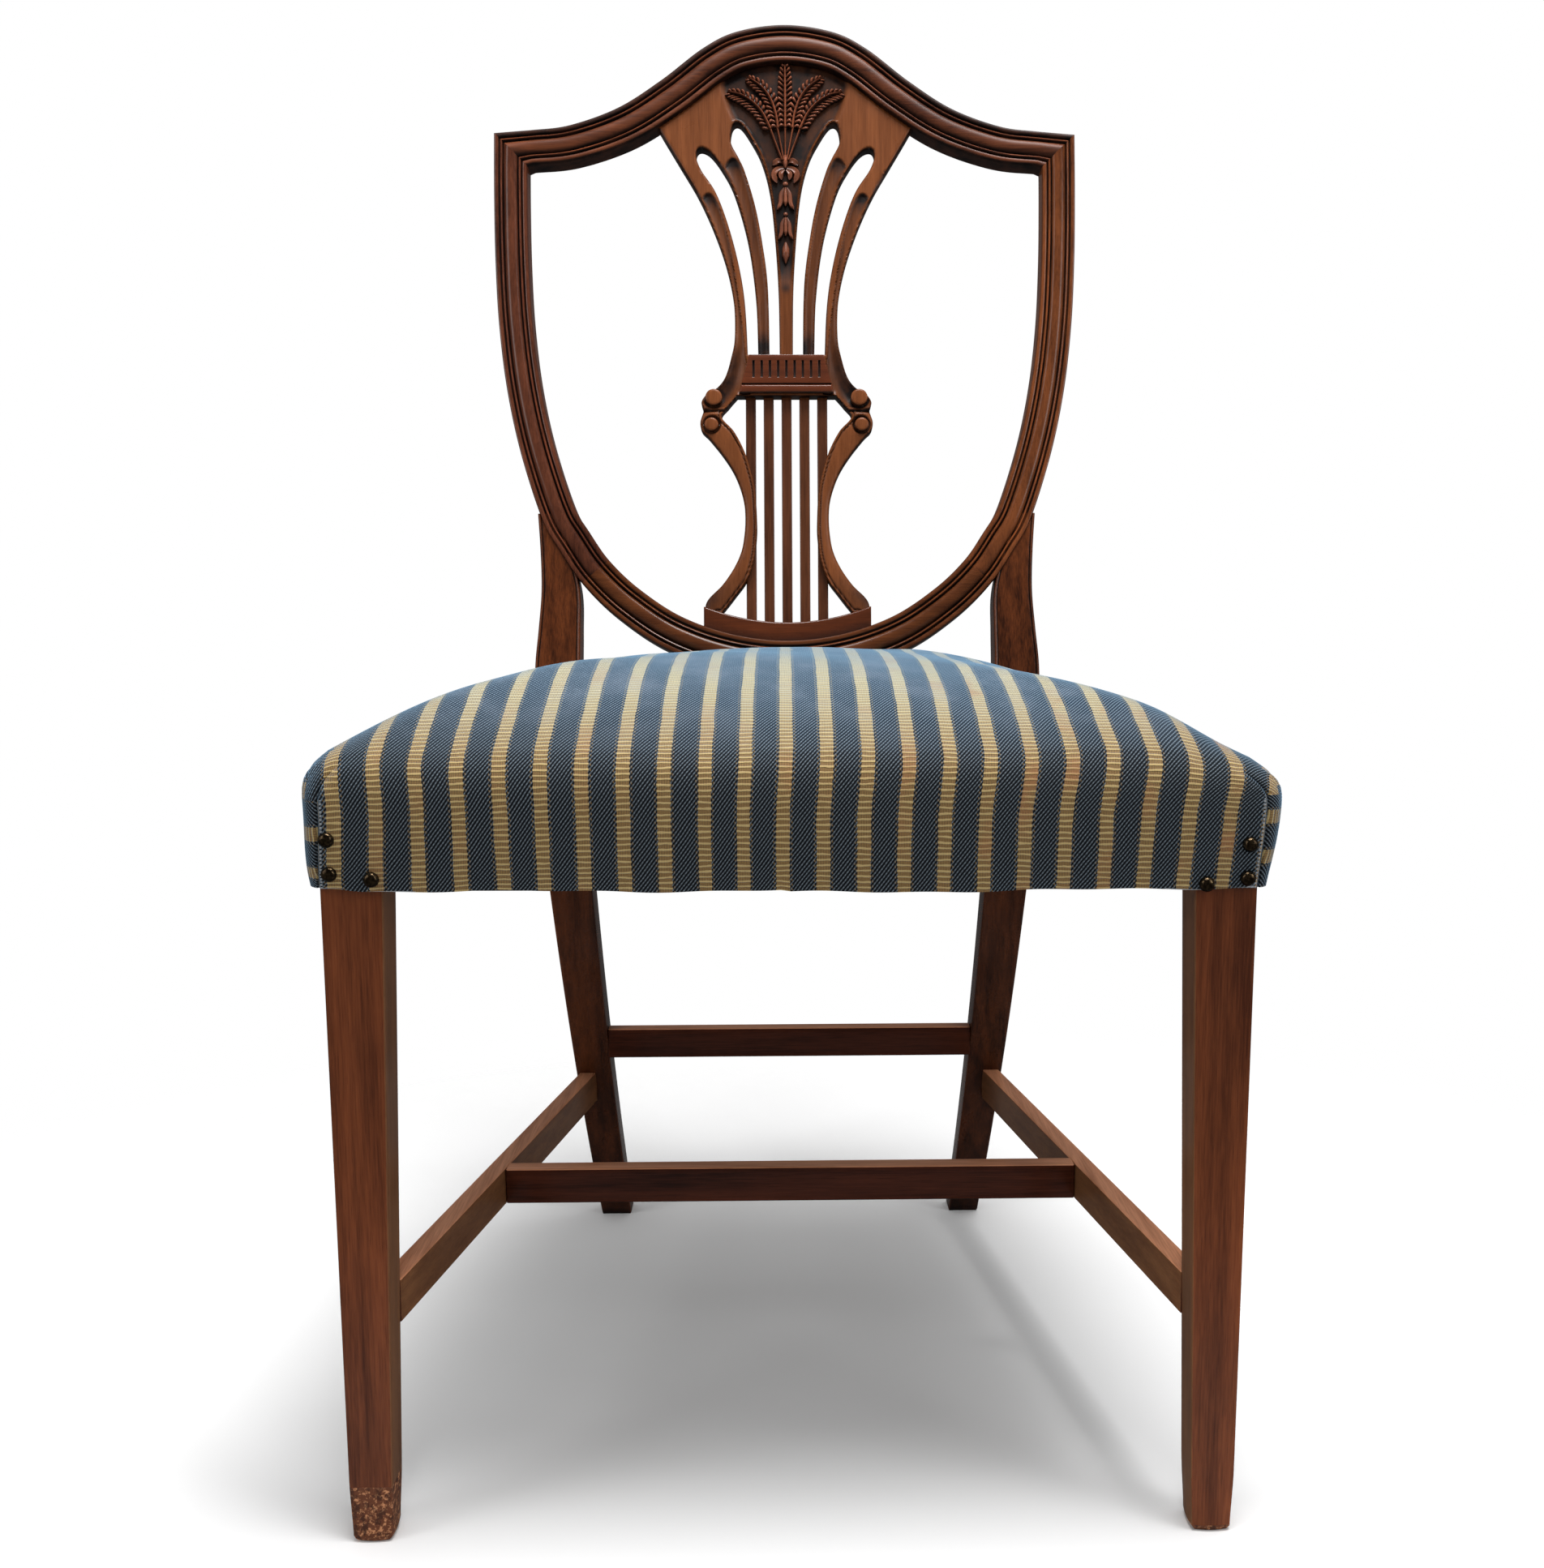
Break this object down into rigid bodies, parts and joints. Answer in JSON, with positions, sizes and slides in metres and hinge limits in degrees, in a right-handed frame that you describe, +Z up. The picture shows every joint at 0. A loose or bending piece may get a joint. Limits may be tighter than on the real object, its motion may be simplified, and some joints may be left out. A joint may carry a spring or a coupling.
{
  "type": "shield back dining chair",
  "caption": "Shield back dining chair with a pierced lyre splat, a padded striped seat, square tapered front legs, swept rear legs and an H stretcher.",
  "frame": {"origin": "on the floor, in the middle of the space the chair takes in width and depth", "axes": "+Z up, -Y the way the sitter faces, +X to the right of someone who looks at the chair's front"},
  "size_m": [0.516, 0.513, 0.978],
  "materials": {
    "mahogany": "polished red-brown mahogany",
    "shield_mahogany": "polished dark mahogany",
    "seat_frame_beech": "plain sawn beech",
    "block_screw_steel": "dull steel",
    "webbing_jute": "plain woven jute",
    "hessian": "coarse woven hessian",
    "stuffing_hair": "curled hair under calico",
    "striped_cover": "woven blue and cream stripe",
    "black_bottom_cloth": "plain black cotton",
    "nail_brass": "antiqued domed heads"
  },
  "bodies": {
    "root": {"block_screw_front_left_1": "block_screw_steel", "block_screw_front_left_2": "block_screw_steel", "block_screw_front_right_1": "block_screw_steel", "block_screw_front_right_2": "block_screw_steel", "block_screw_rear_left_1": "block_screw_steel", "block_screw_rear_left_2": "block_screw_steel", "block_screw_rear_right_1": "block_screw_steel", "block_screw_rear_right_2": "block_screw_steel", "bottom_cloth": "black_bottom_cloth", "corner_block_front_left": "seat_frame_beech", "corner_block_front_right": "seat_frame_beech", "corner_block_rear_left": "seat_frame_beech", "corner_block_rear_right": "seat_frame_beech", "crest_rail": "shield_mahogany", "cross_stretcher": "mahogany", "front_leg_left": "mahogany", "front_leg_right": "mahogany", "front_seat_rail": "seat_frame_beech", "hessian": "hessian", "nail_left_1": "nail_brass", "nail_left_2": "nail_brass", "nail_left_3": "nail_brass", "nail_right_1": "nail_brass", "nail_right_2": "nail_brass", "nail_right_3": "nail_brass", "rear_leg_left": "mahogany", "rear_leg_right": "mahogany", "rear_seat_rail": "seat_frame_beech", "rear_stretcher": "mahogany", "seat_cover": "striped_cover", "seat_stuffing": "stuffing_hair", "shield_bottom_rail": "shield_mahogany", "side_seat_rail_left": "seat_frame_beech", "side_seat_rail_right": "seat_frame_beech", "side_stretcher_left": "mahogany", "side_stretcher_right": "mahogany", "splat_board": "mahogany", "splat_shoe": "mahogany", "splat_tablet": "mahogany", "string_1": "mahogany", "string_2": "mahogany", "string_3": "mahogany", "string_4": "mahogany", "string_5": "mahogany", "webbing_across_1": "webbing_jute", "webbing_across_2": "webbing_jute", "webbing_across_3": "webbing_jute", "webbing_along_1": "webbing_jute", "webbing_along_2": "webbing_jute", "webbing_along_3": "webbing_jute", "webbing_along_4": "webbing_jute"}
  },
  "joints": []
}
